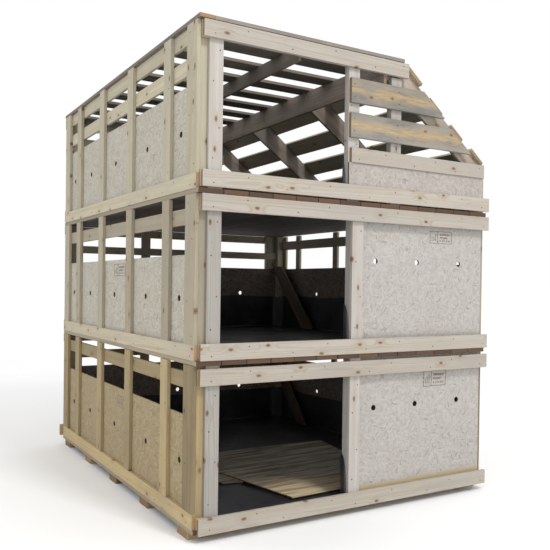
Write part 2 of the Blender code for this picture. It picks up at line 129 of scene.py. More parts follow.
class Shader:
    """A material and short calls that add nodes to it."""

    def __init__(self, name, roughness=0.8):
        self.mat = bpy.data.materials.new(name)
        self.mat.use_nodes = True
        self.tree = self.mat.node_tree
        self.bsdf = self.tree.nodes["Principled BSDF"]
        self.bsdf.inputs["Roughness"].default_value = roughness

    def put(self, socket, value):
        if isinstance(value, bpy.types.NodeSocket):
            self.tree.links.new(value, socket)
        elif isinstance(value, tuple) and len(value) == 3 and len(socket.default_value) == 4:
            socket.default_value = (*value, 1.0)
        else:
            socket.default_value = value

    def math(self, operation, a, b=0.0):
        node = self.tree.nodes.new("ShaderNodeMath")
        node.operation = operation
        self.put(node.inputs[0], a)
        self.put(node.inputs[1], b)
        return node.outputs[0]

    def scaled(self, vector, scale):
        node = self.tree.nodes.new("ShaderNodeVectorMath")
        node.operation = "MULTIPLY"
        self.put(node.inputs[0], vector)
        self.put(node.inputs[1], Vector(scale))
        return node.outputs[0]

    def turned(self, vector, angle):
        node = self.tree.nodes.new("ShaderNodeVectorRotate")
        node.rotation_type = "Z_AXIS"
        self.put(node.inputs["Vector"], vector)
        node.inputs["Angle"].default_value = angle
        return node.outputs[0]

    def split(self, vector):
        node = self.tree.nodes.new("ShaderNodeSeparateXYZ")
        self.put(node.inputs[0], vector)
        return node.outputs

    def joined(self, x, y, z):
        node = self.tree.nodes.new("ShaderNodeCombineXYZ")
        for socket, value in zip(node.inputs, (x, y, z)):
            self.put(socket, value)
        return node.outputs[0]

    def noise(self, vector, scale=1.0, detail=2.0, roughness=0.5, distortion=0.0):
        node = self.tree.nodes.new("ShaderNodeTexNoise")
        self.put(node.inputs["Vector"], vector)
        node.inputs["Scale"].default_value = scale
        node.inputs["Detail"].default_value = detail
        node.inputs["Roughness"].default_value = roughness
        node.inputs["Distortion"].default_value = distortion
        return node.outputs["Fac"]

    def cells(self, vector, randomness=1.0, dimensions="3D"):
        node = self.tree.nodes.new("ShaderNodeTexVoronoi")
        node.voronoi_dimensions = dimensions
        self.put(node.inputs["Vector"], vector)
        node.inputs["Scale"].default_value = 1.0
        node.inputs["Randomness"].default_value = randomness
        return node.outputs

    def step(self, value, low, high):
        """0 at low and 1 at high, eased between them. High may be the smaller one."""
        node = self.tree.nodes.new("ShaderNodeMapRange")
        node.interpolation_type = "SMOOTHSTEP"
        turned = low > high
        self.put(node.inputs["Value"], value)
        node.inputs["From Min"].default_value = min(low, high)
        node.inputs["From Max"].default_value = max(low, high)
        node.inputs["To Min"].default_value = float(turned)
        node.inputs["To Max"].default_value = float(not turned)
        return node.outputs["Result"]

    def mix(self, amount, a, b, mode="MIX"):
        node = self.tree.nodes.new("ShaderNodeMix")
        node.data_type = "RGBA"
        node.blend_type = mode
        self.put(node.inputs[0], amount)
        self.put(node.inputs[6], a)
        self.put(node.inputs[7], b)
        return node.outputs[2]

    def attribute(self, name):
        node = self.tree.nodes.new("ShaderNodeAttribute")
        node.attribute_name = name
        return node.outputs

    def position(self):
        """Place in the object's own frame."""
        return self.tree.nodes.new("ShaderNodeTexCoord").outputs["Object"]

    def normal(self):
        return self.split(self.tree.nodes.new("ShaderNodeTexCoord").outputs["Normal"])

    def bump(self, height, distance, strength=1.0):
        node = self.tree.nodes.new("ShaderNodeBump")
        node.inputs["Strength"].default_value = strength
        node.inputs["Distance"].default_value = distance
        self.put(node.inputs["Height"], height)
        self.tree.links.new(node.outputs[0], self.bsdf.inputs["Normal"])

    def finish(self, colour, roughness=None):
        self.put(self.bsdf.inputs["Base Color"], colour)
        if roughness is not None:
            self.put(self.bsdf.inputs["Roughness"], roughness)
        return self.mat


# ---------------------------------------------------------------- materials

YEAR_RING = 0.0052
KNOT = (0.19, 0.105, 0.06)
KNOT_HEART = (0.075, 0.042, 0.028)
DECK_EDGE = 1.13                 # a deck's outer edges lie further out than this


def sawn_wood(name, pale, late, end, grey, grey_amount, knots=0.5, streaks=0.35, spread=0.22, edge=None,
              heartwood=None):
    """Sawn softwood: growth rings around a pith, fibres, knots, streaks, end grain and weathering.

    edge is the colour of a deck's outer edges, painted light on boards that are otherwise darkened with
    painted shade.
    heartwood is the colour of a ragged band along the middle of boards that repeat upwards, with the bottom
    of the first and their pitch.
    """
    s = Shader(name)
    grain = s.attribute("grain")["Vector"]
    tone = s.attribute("tone")["Fac"]
    ends = s.attribute("endgrain")["Fac"]
    _, across, through = s.split(grain)

    knot_cells = s.cells(s.scaled(grain, (4.2, 8.0, 0.0)), 0.95, "2D")
    there = s.math("LESS_THAN", s.split(knot_cells["Color"])[0], knots)
    wobble = s.math("MULTIPLY", s.noise(s.scaled(grain, (60, 60, 60))), 0.05)
    reach = s.math("ADD", knot_cells["Distance"], wobble)
    knot = s.math("MULTIPLY", s.step(reach, 0.120, 0.085), there)
    heart = s.math("MULTIPLY", s.step(reach, 0.075, 0.045), there)
    halo = s.math("MULTIPLY", s.step(knot_cells["Distance"], 0.36, 0.08), there)

    squares = s.math("ADD", s.math("MULTIPLY", across, across), s.math("MULTIPLY", through, through))
    radius = s.math("SQRT", squares)
    warp = s.noise(s.scaled(grain, (1.3, 10, 10)), detail=2.0)
    radius = s.math("ADD", radius, s.math("MULTIPLY", warp, 0.012))
    radius = s.math("ADD", radius, s.math("MULTIPLY", halo, 0.004))
    wave = s.math("SINE", s.math("MULTIPLY", radius, 2 * math.pi / YEAR_RING))
    rings = s.step(wave, 0.05, 0.95)

    fibre = s.noise(s.scaled(grain, (9, 420, 420)), detail=3.0, roughness=0.6)
    streak = s.step(s.noise(s.scaled(grain, (0.9, 34, 34)), detail=3.0), 0.42, 0.68)
    patch = s.step(s.noise(s.scaled(grain, (1.6, 7, 7)), detail=4.0, roughness=0.65), 0.38, 0.70)

    wood = s.mix(s.math("MULTIPLY", rings, 0.45), pale, late)
    wood = s.mix(s.math("MULTIPLY", streak, streaks), wood, late)
    wood = s.mix(s.math("MULTIPLY", s.step(fibre, 0.45, 0.75), 0.35), wood, late)
    wood = s.mix(s.math("MULTIPLY", patch, grey_amount), wood, grey)
    if heartwood:
        tint, bottom, pitch = heartwood
        up = s.math("MODULO", s.math("SUBTRACT", s.split(s.position())[2], bottom), pitch)
        off = s.math("ABSOLUTE", s.math("SUBTRACT", up, BEAM / 2))
        wander = s.noise(s.scaled(grain, (4, 14, 14)), detail=5.0, roughness=0.75, distortion=0.8)
        band = s.step(s.math("ADD", off, s.math("MULTIPLY", wander, 0.16)), 0.130, 0.075)
        broken = s.step(s.noise(s.scaled(grain, (11, 70, 70)), detail=4.0, roughness=0.7), 0.30, 0.62)
        wood = s.mix(s.math("MULTIPLY", band, broken), wood, tint)
    wood = s.mix(s.math("MULTIPLY", halo, 0.28), wood, late)
    wood = s.mix(s.math("MULTIPLY", knot, 0.75), wood, KNOT)
    wood = s.mix(s.math("MULTIPLY", heart, 0.75), wood, KNOT_HEART)
    cut = s.mix(s.math("MULTIPLY", rings, 0.5), end, tuple(c * 0.55 for c in end))
    wood = s.mix(ends, wood, cut)
    # Painted light: the outer side faces of the outermost deck boards get the paler edge colour.
    if edge:
        outer = s.math("MULTIPLY", s.step(s.math("ABSOLUTE", s.normal()[0]), 0.5, 0.8),
                       s.step(s.math("ABSOLUTE", s.split(s.position())[0]), DECK_EDGE, DECK_EDGE + 0.01))
        streaked = s.mix(s.math("MULTIPLY", streak, 0.6), edge, tuple(c * 0.7 for c in edge))
        wood = s.mix(outer, wood, streaked)
    dirt = s.step(s.noise(s.scaled(s.position(), (22, 22, 22)), detail=5.0, roughness=0.7), 0.60, 0.78)
    wood = s.mix(s.math("MULTIPLY", dirt, 0.28), wood, tuple(c * 0.45 for c in late))
    shade = s.math("ADD", s.math("MULTIPLY", tone, spread), 1.0 - spread / 2)
    lit = s.joined(shade, shade, shade)
    wood = s.mix(1.0, wood, lit, "MULTIPLY")
    s.bump(s.math("ADD", s.math("MULTIPLY", fibre, 0.6), s.math("MULTIPLY", rings, 0.5)), 0.0006, 0.7)
    return s.finish(wood, s.math("ADD", s.math("MULTIPLY", fibre, 0.2), 0.66))


def flake_layer(s, plane, angle):
    """One direction of flakes: a tone for each flake, and the fibres along it."""
    along = s.turned(plane, angle)
    bent = s.math("MULTIPLY", s.noise(s.scaled(along, (26, 26, 26))), 0.008)
    x, y, z = s.split(along)
    along = s.joined(x, s.math("ADD", y, bent), z)
    flakes = s.cells(s.scaled(along, (26, 105, 8)))
    tone = s.split(flakes["Color"])[0]
    fibre = s.noise(s.scaled(along, (18, 330, 60)), detail=2.0)
    return tone, fibre


def strand_board(name, plane_axes, pale, tan, inner_axis, inner_sign, band=None):
    """OSB: flakes that lie in three directions, with painted shade on the face towards the pen and inside its
    holes.

    band is the colour of a strip along the bottom, and its top.
    """
    s = Shader(name)
    place = s.split(s.position())
    u, v, depth = (place[a] for a in plane_axes)
    plane = s.joined(u, v, depth)
    tones = [flake_layer(s, plane, angle) for angle in (0.15, 1.25, 2.25)]
    pick = s.split(s.cells(s.scaled(plane, (36, 42, 9)))["Color"])
    chosen = s.mix(s.math("GREATER_THAN", pick[0], 0.5), tones[0][0], tones[1][0])
    chosen = s.mix(s.math("GREATER_THAN", pick[1], 0.66), chosen, tones[2][0])
    tone = s.split(chosen)[0]
    fibre = s.split(s.mix(s.math("GREATER_THAN", pick[0], 0.5), tones[0][1], tones[1][1]))[0]
    colour = s.mix(s.step(tone, 0.15, 0.95), tan, pale)
    colour = s.mix(s.math("MULTIPLY", s.step(fibre, 0.45, 0.8), 0.25), colour, tuple(c * 0.7 for c in tan))
    dark_flake = s.step(tone, 0.08, 0.02)
    colour = s.mix(s.math("MULTIPLY", dark_flake, 0.4), colour, tuple(c * 0.5 for c in tan))
    cloud = s.step(s.noise(s.scaled(plane, (2.2, 2.2, 2.2)), detail=4.0), 0.35, 0.7)
    colour = s.mix(s.math("MULTIPLY", cloud, 0.16), colour, tuple(c * 0.72 for c in pale))
    if band:
        edge = s.math("ADD", v, s.math("MULTIPLY", s.noise(s.scaled(plane, (5, 5, 5))), 0.006))
        colour = s.mix(s.math("MULTIPLY", s.step(edge, band[1], band[1] - 0.006), 0.9), colour, band[0])
    # Painted shade: the face towards the pen is darkened to a dim colour.
    inner = s.step(s.math("MULTIPLY", s.normal()[inner_axis], inner_sign), 0.4, 0.6)
    shaded_colour = s.mix(s.step(tone, 0.2, 0.9), (0.120, 0.094, 0.078), (0.225, 0.182, 0.150))
    colour = s.mix(inner, colour, shaded_colour)
    # Painted shade: hole walls and upright edges are darkened.
    flat = s.math("MAXIMUM", s.math("ABSOLUTE", s.normal()[inner_axis]), s.math("ABSOLUTE", s.normal()[2]))
    colour = s.mix(s.step(flat, 0.97, 0.90), colour, (0.055, 0.038, 0.026))
    s.bump(s.math("ADD", tone, s.math("MULTIPLY", fibre, 0.4)), 0.0008, 0.6)
    return s.finish(colour, s.math("ADD", s.math("MULTIPLY", tone, 0.15), 0.70))


def membrane(name):
    """Black polythene: creased, dusty, with a cool sheen."""
    s = Shader(name)
    place = s.position()
    crease = s.noise(s.scaled(place, (7, 7, 7)), detail=4.0, roughness=0.55, distortion=0.6)
    fine = s.noise(s.scaled(place, (45, 45, 45)), detail=3.0)
    dust = s.step(s.noise(s.scaled(place, (3, 3, 3)), detail=5.0, roughness=0.65), 0.42, 0.72)
    colour = s.mix(s.math("MULTIPLY", dust, 0.6), (0.018, 0.019, 0.023), (0.066, 0.070, 0.080))
    s.bump(s.math("ADD", crease, s.math("MULTIPLY", fine, 0.18)), 0.006, 0.6)
    s.bsdf.inputs["Specular IOR Level"].default_value = 0.5
    return s.finish(colour, s.math("ADD", s.math("MULTIPLY", dust, 0.25), 0.34))


def plywood(name):
    """Used plywood: long grey-brown streaks with painted shade further into the pen, and patches of brighter
    ochre, painted light, towards the door.
    """
    s = Shader(name)
    grain = s.attribute("grain")["Vector"]
    streak = s.noise(s.scaled(grain, (2.4, 26, 26)), detail=5.0, roughness=0.6, distortion=0.5)
    fibre = s.noise(s.scaled(grain, (16, 300, 300)), detail=3.0)
    y = s.split(s.position())[1]
    near = s.math("ADD", y, s.math("MULTIPLY", s.noise(s.scaled(s.position(), (3, 3, 3)), detail=4.0), 0.5))
    # Painted light: towards the front, where the door lets light in, the sheet turns brighter ochre; further
    # back it keeps painted shade.
    door_light = s.step(near, -0.45, -0.80)
    shaded_colour = s.mix(s.step(streak, 0.35, 0.65), (0.18, 0.140, 0.105), (0.55, 0.500, 0.405))
    lit_colour = s.mix(s.step(streak, 0.35, 0.65), (0.38, 0.265, 0.14), (0.74, 0.61, 0.385))
    colour = s.mix(door_light, shaded_colour, lit_colour)
    colour = s.mix(s.math("MULTIPLY", s.step(fibre, 0.5, 0.8), 0.3), colour, (0.07, 0.045, 0.03))
    ends = s.attribute("endgrain")["Fac"]
    colour = s.mix(ends, colour, (0.16, 0.09, 0.045))
    s.bump(s.math("ADD", streak, s.math("MULTIPLY", fibre, 0.5)), 0.0006, 0.6)
    return s.finish(colour, 0.72)


def steel(name):
    s = Shader(name, 0.55)
    rust = s.step(s.noise(s.scaled(s.position(), (210, 210, 210)), detail=3.0), 0.42, 0.62)
    s.bsdf.inputs["Metallic"].default_value = 0.6
    s.bump(rust, 0.0002)
    return s.finish(s.mix(rust, (0.060, 0.052, 0.048), (0.075, 0.040, 0.022)))


def ink(name, colour):
    s = Shader(name, 0.9)
    worn = s.step(s.noise(s.scaled(s.position(), (190, 190, 190)), detail=4.0), 0.40, 0.62)
    return s.finish(s.mix(s.math("MULTIPLY", worn, 0.7), colour, (0.48, 0.43, 0.36)))


WOOD_LOOKS = {
    "pine_front": dict(pale=(0.425, 0.392, 0.342), late=(0.320, 0.250, 0.172), end=(0.26, 0.18, 0.10),
                       grey=(0.338, 0.315, 0.286), grey_amount=0.45, knots=0.6),
    "pine_upright": dict(pale=(0.444, 0.423, 0.396), late=(0.338, 0.275, 0.212), end=(0.26, 0.18, 0.10),
                         grey=(0.356, 0.342, 0.329), grey_amount=0.45, knots=0.6),
    "pine_side": dict(pale=(0.47, 0.43, 0.32), late=(0.33, 0.27, 0.17), end=(0.30, 0.19, 0.10),
                      grey=(0.33, 0.32, 0.26), grey_amount=0.55, knots=0.6),
    "pine_middle": dict(pale=(0.395, 0.348, 0.258), late=(0.28, 0.215, 0.135), end=(0.30, 0.19, 0.10),
                        grey=(0.29, 0.275, 0.225), grey_amount=0.55, knots=0.6),
    "pine_ochre": dict(pale=(0.40, 0.315, 0.170), late=(0.25, 0.165, 0.070), end=(0.26, 0.15, 0.07),
                       grey=(0.24, 0.20, 0.130), grey_amount=0.5, spread=0.45),
    # Painted shade: a darkened copy of the pine, for the braces inside the dim pens.
    "pine_shaded_inside": dict(pale=(0.10, 0.075, 0.052), late=(0.05, 0.034, 0.022), end=(0.09, 0.055, 0.03),
                        grey=(0.06, 0.050, 0.040), grey_amount=0.6),
    "slope_wood": dict(pale=(0.27, 0.230, 0.190), late=(0.14, 0.095, 0.06), end=(0.22, 0.15, 0.09),
                       grey=(0.145, 0.13, 0.115), grey_amount=0.8, streaks=0.6, spread=0.35),
    "roof_wood": dict(pale=(0.19, 0.165, 0.135), late=(0.105, 0.075, 0.05), end=(0.34, 0.19, 0.09),
                      grey=(0.11, 0.10, 0.09), grey_amount=0.8, spread=0.3),
    "weathered_board": dict(pale=(0.25, 0.243, 0.222), late=(0.33, 0.243, 0.13), end=(0.24, 0.165, 0.09),
                            grey=(0.135, 0.135, 0.135), grey_amount=0.9, knots=0.3, spread=0.15,
                            heartwood=((0.42, 0.29, 0.14), WEATHERED_LOW, WEATHERED_PITCH)),
    # Painted shade: the deck boards are darkened for the dim pens; their outer side faces take the paler edge
    # colour, painted light.
    "deck_boards": dict(pale=(0.105, 0.075, 0.060), late=(0.065, 0.043, 0.034), end=(0.100, 0.050, 0.024),
                        grey=(0.085, 0.075, 0.080), grey_amount=0.6, spread=0.5, edge=(0.36, 0.305, 0.215)),
}
WOOD = {name: sawn_wood(name, **look) for name, look in WOOD_LOOKS.items()}
OSB_FRONT = dict(pale=(0.470, 0.447, 0.424), tan=(0.390, 0.361, 0.328))
OSB_UPPER = dict(pale=(0.430, 0.397, 0.368), tan=(0.360, 0.318, 0.280))
OSB_SIDE = dict(pale=(0.475, 0.455, 0.395), tan=(0.385, 0.350, 0.280))
OSB_OCHRE = dict(pale=(0.375, 0.305, 0.185), tan=(0.285, 0.215, 0.110))
STEEL = steel("nail_steel")
INK = ink("stamp_ink", (0.09, 0.065, 0.05))
BLACK = membrane("liner_membrane")
PLY = plywood("plywood")


# ---------------------------------------------------------------- boards

class Boards:
    """The boards that stand for CAD nodes, as one mesh with a grain frame for each board."""

    def __init__(self, name, body, slot, material, nodes):
        self.name, self.body, self.slot, self.material, self.nodes = name, body, slot, material, nodes
        self.bm = bmesh.new()
        self.grain = self.bm.verts.layers.float_vector.new("grain")
        self.tone = self.bm.faces.layers.float.new("tone")
        self.end = self.bm.faces.layers.float.new("endgrain")

    def finish_board(self, verts, faces, origin, along, across, tone=None):
        """Writes a board's grain frame. The pith of its log runs just outside the board."""
        through = along.cross(across)
        start, pith = draw.uniform(0, 80), Vector((draw.uniform(-0.07, 0.07), draw.uniform(0.02, 0.09)))
        tilt, drawn = draw.uniform(-0.03, 0.03), draw.random()
        tone = drawn if tone is None else tone
        for v in verts:
            at = v.co - origin
            x = at.dot(along)
            v[self.grain] = (x + start, at.dot(across) + pith.x + tilt * x, at.dot(through) + pith.y)
        for f in faces:
            f.normal_update()
            f[self.tone] = tone
            f[self.end] = float(abs(f.normal.dot(along)) > 0.75)

    def board(self, origin, along, across, through, size, cuts=(0.0, 0.0), rough=0.0004, chamfer=0.0013,
              tone=None):
        """A sawn board lofted from its origin corner. cuts lean its ends, as run along per width."""
        length, width, thick = size
        count = max(2, int(length / 0.22))
        stations = [0.0, chamfer] + [length * i / count for i in range(1, count)] + [length - chamfer, length]
        rings = []
        for number, at in enumerate(stations):
            at_end = number in (0, len(stations) - 1)
            inset = chamfer if at_end else 0.0
            near_end = number < 2 or number > len(stations) - 3
            jig = [0.0] * 4 if near_end else [draw.uniform(0, rough) for _ in range(4)]
            v0, v1 = inset + jig[0], width - inset - jig[1]
            w0, w1 = inset + jig[2] * 0.5, thick - inset - jig[3] * 0.5
            c = chamfer
            profile = ((v0 + c, w0), (v1 - c, w0), (v1, w0 + c), (v1, w1 - c),
                       (v1 - c, w1), (v0 + c, w1), (v0, w1 - c), (v0, w0 + c))
            ring = []
            for v, w in profile:
                lean = (cuts[0] * (1 - at / length) + cuts[1] * at / length) * v
                ring.append(self.bm.verts.new(origin + along * (at + lean) + across * v + through * w))
            rings.append(ring)
        faces = [self.bm.faces.new(rings[0][::-1]), self.bm.faces.new(rings[-1])]
        for a, b in zip(rings, rings[1:]):
            for i in range(8):
                j = (i + 1) % 8
                faces.append(self.bm.faces.new((a[i], a[j], b[j], b[i])))
        middle = origin + across * width / 2 + through * thick / 2
        self.finish_board([v for ring in rings for v in ring], faces, middle, along, across, tone)

    def box(self, x, y, z, along, **more):
        """An axis-aligned board between (low, high) pairs, grain along axis 0, 1 or 2."""
        spans = (x, y, z)
        sizes = [s[1] - s[0] for s in spans]
        others = sorted((a for a in range(3) if a != along), key=lambda a: -sizes[a])
        units = [Vector([float(a == axis) for a in range(3)]) for axis in range(3)]
        u, v = units[along], units[others[0]]
        w = u.cross(v)
        corner = Vector([s[0] for s in spans])
        if w[others[1]] < 0:
            corner[others[1]] = spans[others[1]][1]
        self.board(corner, u, v, w, (sizes[along], sizes[others[0]], sizes[others[1]]), **more)

    def prism(self, outline, axis, low, high, along, chamfer=0.0013, tone=None):
        """A board with a drawn outline on two axes, through the third."""
        made = bmesh.new()
        u, v = [a for a in range(3) if a != axis]
        ring = []
        for a, b in outline:
            at = [0.0, 0.0, 0.0]
            at[u], at[v], at[axis] = a, b, low
            ring.append(made.verts.new(at))
        grown = bmesh.ops.extrude_face_region(made, geom=[made.faces.new(ring)])
        shift = [0.0, 0.0, 0.0]
        shift[axis] = high - low
        far_side = [g for g in grown["geom"] if isinstance(g, bmesh.types.BMVert)]
        bmesh.ops.translate(made, vec=shift, verts=far_side)
        bmesh.ops.recalc_face_normals(made, faces=made.faces[:])
        bmesh.ops.bevel(made, geom=made.edges[:], offset=chamfer, segments=1, affect="EDGES")
        verts = {v: self.bm.verts.new(v.co) for v in made.verts}
        faces = [self.bm.faces.new([verts[v] for v in f.verts]) for f in made.faces]
        made.free()
        across = Vector([float(a == axis) for a in range(3)]).cross(along).normalized()
        origin = sum((v.co for v in verts.values()), Vector()) / len(verts)
        self.finish_board(list(verts.values()), faces, origin, along.normalized(), across, tone)

    def done(self):
        mesh = bpy.data.meshes.new(self.name)
        self.bm.normal_update()
        self.bm.to_mesh(mesh)
        self.bm.free()
        obj = bpy.data.objects.new(self.name, mesh)
        bpy.context.scene.collection.objects.link(obj)
        mesh.materials.append(self.material)
        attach(obj, self.body)
        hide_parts(*self.nodes)
        return obj


NAIL_SIDES = 10


class Nails:
    """Nail heads of one body."""

    def __init__(self, body):
        self.body = body
        self.bm = bmesh.new()

    def head(self, at, normal, radius=0.0042):
        """A slightly domed head, a little proud of the wood."""
        turn = Vector((0, 0, 1)).rotation_difference(Vector(normal)).to_matrix().to_4x4()
        place = Matrix.Translation(Vector(at)) @ turn
        base, rim = [], []
        for i in range(NAIL_SIDES):
            a = 2 * math.pi * i / NAIL_SIDES
            out = Vector((math.cos(a), math.sin(a), 0.0)) * radius
            base.append(self.bm.verts.new(place @ (out - Vector((0, 0, 0.0005)))))
            rim.append(self.bm.verts.new(place @ (out * 0.85 + Vector((0, 0, 0.0005)))))
        top = self.bm.verts.new(place @ Vector((0, 0, 0.0008)))
        for i in range(NAIL_SIDES):
            j = (i + 1) % NAIL_SIDES
            self.bm.faces.new((base[i], base[j], rim[j], rim[i]))
            self.bm.faces.new((rim[i], rim[j], top))

    def row(self, start, stop, normal, across, step, margin=0.02):
        """A zigzag of nails from start to stop; across is the vector between the two sides of the board."""
        start, stop, across = Vector(start), Vector(stop), Vector(across)
        run = stop - start
        count = max(1, round(run.length / step))
        for i in range(count + 1):
            side = 0.5 if i % 2 else -0.5
            edge = margin / run.length
            t = min(max(i / count + draw.uniform(-0.2, 0.2) / count, edge), 1 - edge)
            at = start + run * t + across * (side * draw.uniform(0.75, 1.0))
            self.head(at, normal, draw.uniform(0.0036, 0.0048))

    def done(self):
        mesh = bpy.data.meshes.new(f"nails_{self.body}")
        self.bm.normal_update()
        self.bm.to_mesh(mesh)
        self.bm.free()
        obj = bpy.data.objects.new(f"nails_{self.body}", mesh)
        bpy.context.scene.collection.objects.link(obj)
        mesh.materials.append(STEEL)
        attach(obj, self.body)


nails = {tier: Nails(BODY[tier]) for tier in TIERS}


def single(node, tier, slot, along, material=None, **more):
    """One board in place of one CAD node of the same box."""
    low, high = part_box(node)
    boards = Boards(f"{node}_board", BODY[tier], slot, material or WOOD[slot], [node])
    boards.box((low.x, high.x), (low.y, high.y), (low.z, high.z), along, **more)
    boards.done()
    return low, high


def walls_slot(tier):
    return "pine_ochre" if tier == "lower" else "pine_side"


def walls_wood(tier):
    return WOOD[{"lower": "pine_ochre", "middle": "pine_middle", "upper": "pine_side"}[tier]]


def skids():
    for number in range(5):
        single(f"skid_{number + 1}", "lower", "pine_ochre", 0)


def deck(tier):
    node = f"{tier}_deck"
    low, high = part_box(node)
    boards = Boards(f"{node}_boards", BODY[tier], "deck_boards", WOOD["deck_boards"], [node])
    pitch = (high.x - low.x + KERF) / DECK_BOARDS
    for number in range(DECK_BOARDS):
        x = low.x + number * pitch
        back = draw.uniform(0.0, 0.004)
        boards.box((x, x + pitch - KERF), (low.y + back, high.y - back), (low.z, high.z), 1, rough=0.001)
    boards.done()


def side_frame(tier, side):
    """Bottom rail, corner boards and studs outside; slat and posts inside; packers at the left front."""
    node = f"{tier}_{side}_frame"
    low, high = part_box(node)
    sign = -1 if side == "left" else 1
    slot = walls_slot(tier)

    def across(a, b):
        return tuple(sorted((sign * a, sign * b)))

    outer = across(SIDE_IN, SIDE_IN + SIDE_BOARD)
    inner = across(SIDE_IN - BOARD, SIDE_IN)
    post = across(SIDE_IN - POST_WIDTH, SIDE_IN)
    front = CORNER_FRONT[side]
    post_face = (FRONT_IN if side == "right" else FRONT_OSB) + GAP
    rail_top = low.z + SIDE_RAIL
    slat = (SLAT_Z[tier], SLAT_Z[tier] + RAIL)
    studs, stud_width, rear = LEFT_STUDS, SIDE_STUD, CORNER_BOARD
    if side == "right":
        studs, stud_width, rear = RIGHT_STUDS, RIGHT_STUD, RIGHT_CORNER
        slat = (SLAT_Z[tier] + RIGHT_SLAT_UP, SLAT_Z[tier] + RIGHT_SLAT_UP + SIDE_RAIL)
    if low_side(tier, side):
        slat = (high.z - RAIL, high.z)
    between = (post_face + POST, POST_BACK)
    face = sign * (SIDE_IN + SIDE_BOARD)
    boards = Boards(f"{node}_boards", BODY[tier], slot, walls_wood(tier), [node])
    rail_tone, corner_tone = SIDE_TONES[tier]
    boards.box(outer, (front, CORNER_BACK), (low.z, rail_top), 1, tone=rail_tone)
    for y, width in [(front, CORNER_BOARD), (CORNER_BACK - rear, rear)] + [(y, stud_width) for y in studs]:
        tone = corner_tone if y == front else None
        boards.box(outer, (y, y + width), (rail_top, high.z - 0.0005), 2, tone=tone)
        middle = y + width / 2
        nails[tier].row((face, middle, rail_top + 0.03), (face, middle, high.z - 0.03), (sign, 0, 0),
                        (0, width * 0.55, 0), 0.24)
    rail_z = low.z + SIDE_RAIL / 2
    nails[tier].row((face, front + 0.03, rail_z), (face, CORNER_BACK - 0.03, rail_z), (sign, 0, 0),
                    (0, 0, SIDE_RAIL * 0.5), 0.25)
    for y in (post_face, POST_BACK):
        top = max(v.co.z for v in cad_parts[node].data.vertices
                  if abs(v.co.y - y) < SMALL and abs(v.co.x) < SIDE_IN - POST_WIDTH + SMALL)
        boards.box(post, (y, y + POST), (low.z, top - 0.001), 2)
    boards.box(inner, between, slat, 1)
    if side == "left":
        for rail in ("top", "bottom"):
            rail_low, rail_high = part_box(f"{tier}_front_{rail}_rail")
            z = (max(rail_low.z, low.z), rail_high.z)
            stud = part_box(f"{tier}_front_left_stud")[0].x
            boards.box((-SIDE_IN, stud - GAP), (FRONT_STUD + GAP, FRONT_OSB), z, 0)
        if tier == "upper":
            boards.box(inner, between, (high.z - RAIL, high.z - 0.0004), 1)
    boards.done()


def low_side(tier, side):
    return tier == "upper" and side == "right"


def front(tier):
    """Rails, left stud, jamb and its post; nails where they cross."""
    heads = nails[tier]
    rails = {}
    for rail in ("top", "bottom"):
        low, high = single(f"{tier}_front_{rail}_rail", tier, "pine_front", 0, tone=RAIL_TONES[rail])
        rails[rail] = (low, high)
        z = (low.z + high.z) / 2
        heads.row((low.x + 0.05, FRONT, z), (high.x - 0.03, FRONT, z), (0, -1, 0), (0, 0, RAIL * 0.55), 0.30)
    single(f"{tier}_front_left_stud", tier, "pine_front", 2, WOOD["pine_upright"], tone=LEFT_STUD_TONES[tier])
    jamb = f"{tier}_door_jamb"
    low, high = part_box(jamb)
    boards = Boards(f"{jamb}_boards", BODY[tier], "pine_front", WOOD["pine_upright"], [jamb])
    boards.box((low.x, high.x), (low.y, FRONT_OSB - GAP), (low.z, high.z), 2, tone=JAMB_TONE)
    boards.box((low.x, low.x + POST), (FRONT_OSB, high.y), (low.z, high.z), 2)
    boards.done()
    for node in (f"{tier}_front_left_stud", jamb):
        a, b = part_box(node)
        x = (a.x + b.x) / 2
        heads.row((x, FRONT_STUD, rails["bottom"][1].z + 0.05), (x, FRONT_STUD, rails["top"][0].z - 0.04),
                  (0, -1, 0), ((b.x - a.x) * 0.5, 0, 0), 0.22)


def upper_front():
    """Middle stud and rail, and two weathered slats with ends sawn to the slope."""
    single("upper_middle_stud", "upper", "pine_front", 2, WOOD["pine_upright"])
    a, b = single("upper_middle_rail", "upper", "pine_front", 0)
    z = (a.z + b.z) / 2
    nails["upper"].row((a.x + 0.03, FRONT, z), (b.x - 0.03, FRONT, z), (0, -1, 0), (0, 0, 0.05), 0.24)
    for number in (1, 2):
        node = f"upper_weathered_slat_{number}"
        low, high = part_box(node)
        top = max(v.co.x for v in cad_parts[node].data.vertices if v.co.z > high.z - 0.001)
        boards = Boards(f"{node}_board", "upper_tier", "weathered_board", WOOD["weathered_board"], [node])
        boards.board(Vector((low.x, high.y, low.z)), Vector((1, 0, 0)), Vector((0, 0, 1)), Vector((0, -1, 0)),
                     (high.x - low.x, high.z - low.z, high.y - low.y), rough=0.0035,
                     cuts=(0.0, (top - high.x) / (high.z - low.z)))
        boards.done()
        for x in (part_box("upper_door_jamb")[0].x + 0.03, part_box("upper_middle_stud")[0].x + 0.045):
            for z in (low.z + 0.04, high.z - 0.04):
                nails["upper"].head((x + draw.uniform(-0.01, 0.01), FRONT, z), (0, -1, 0))


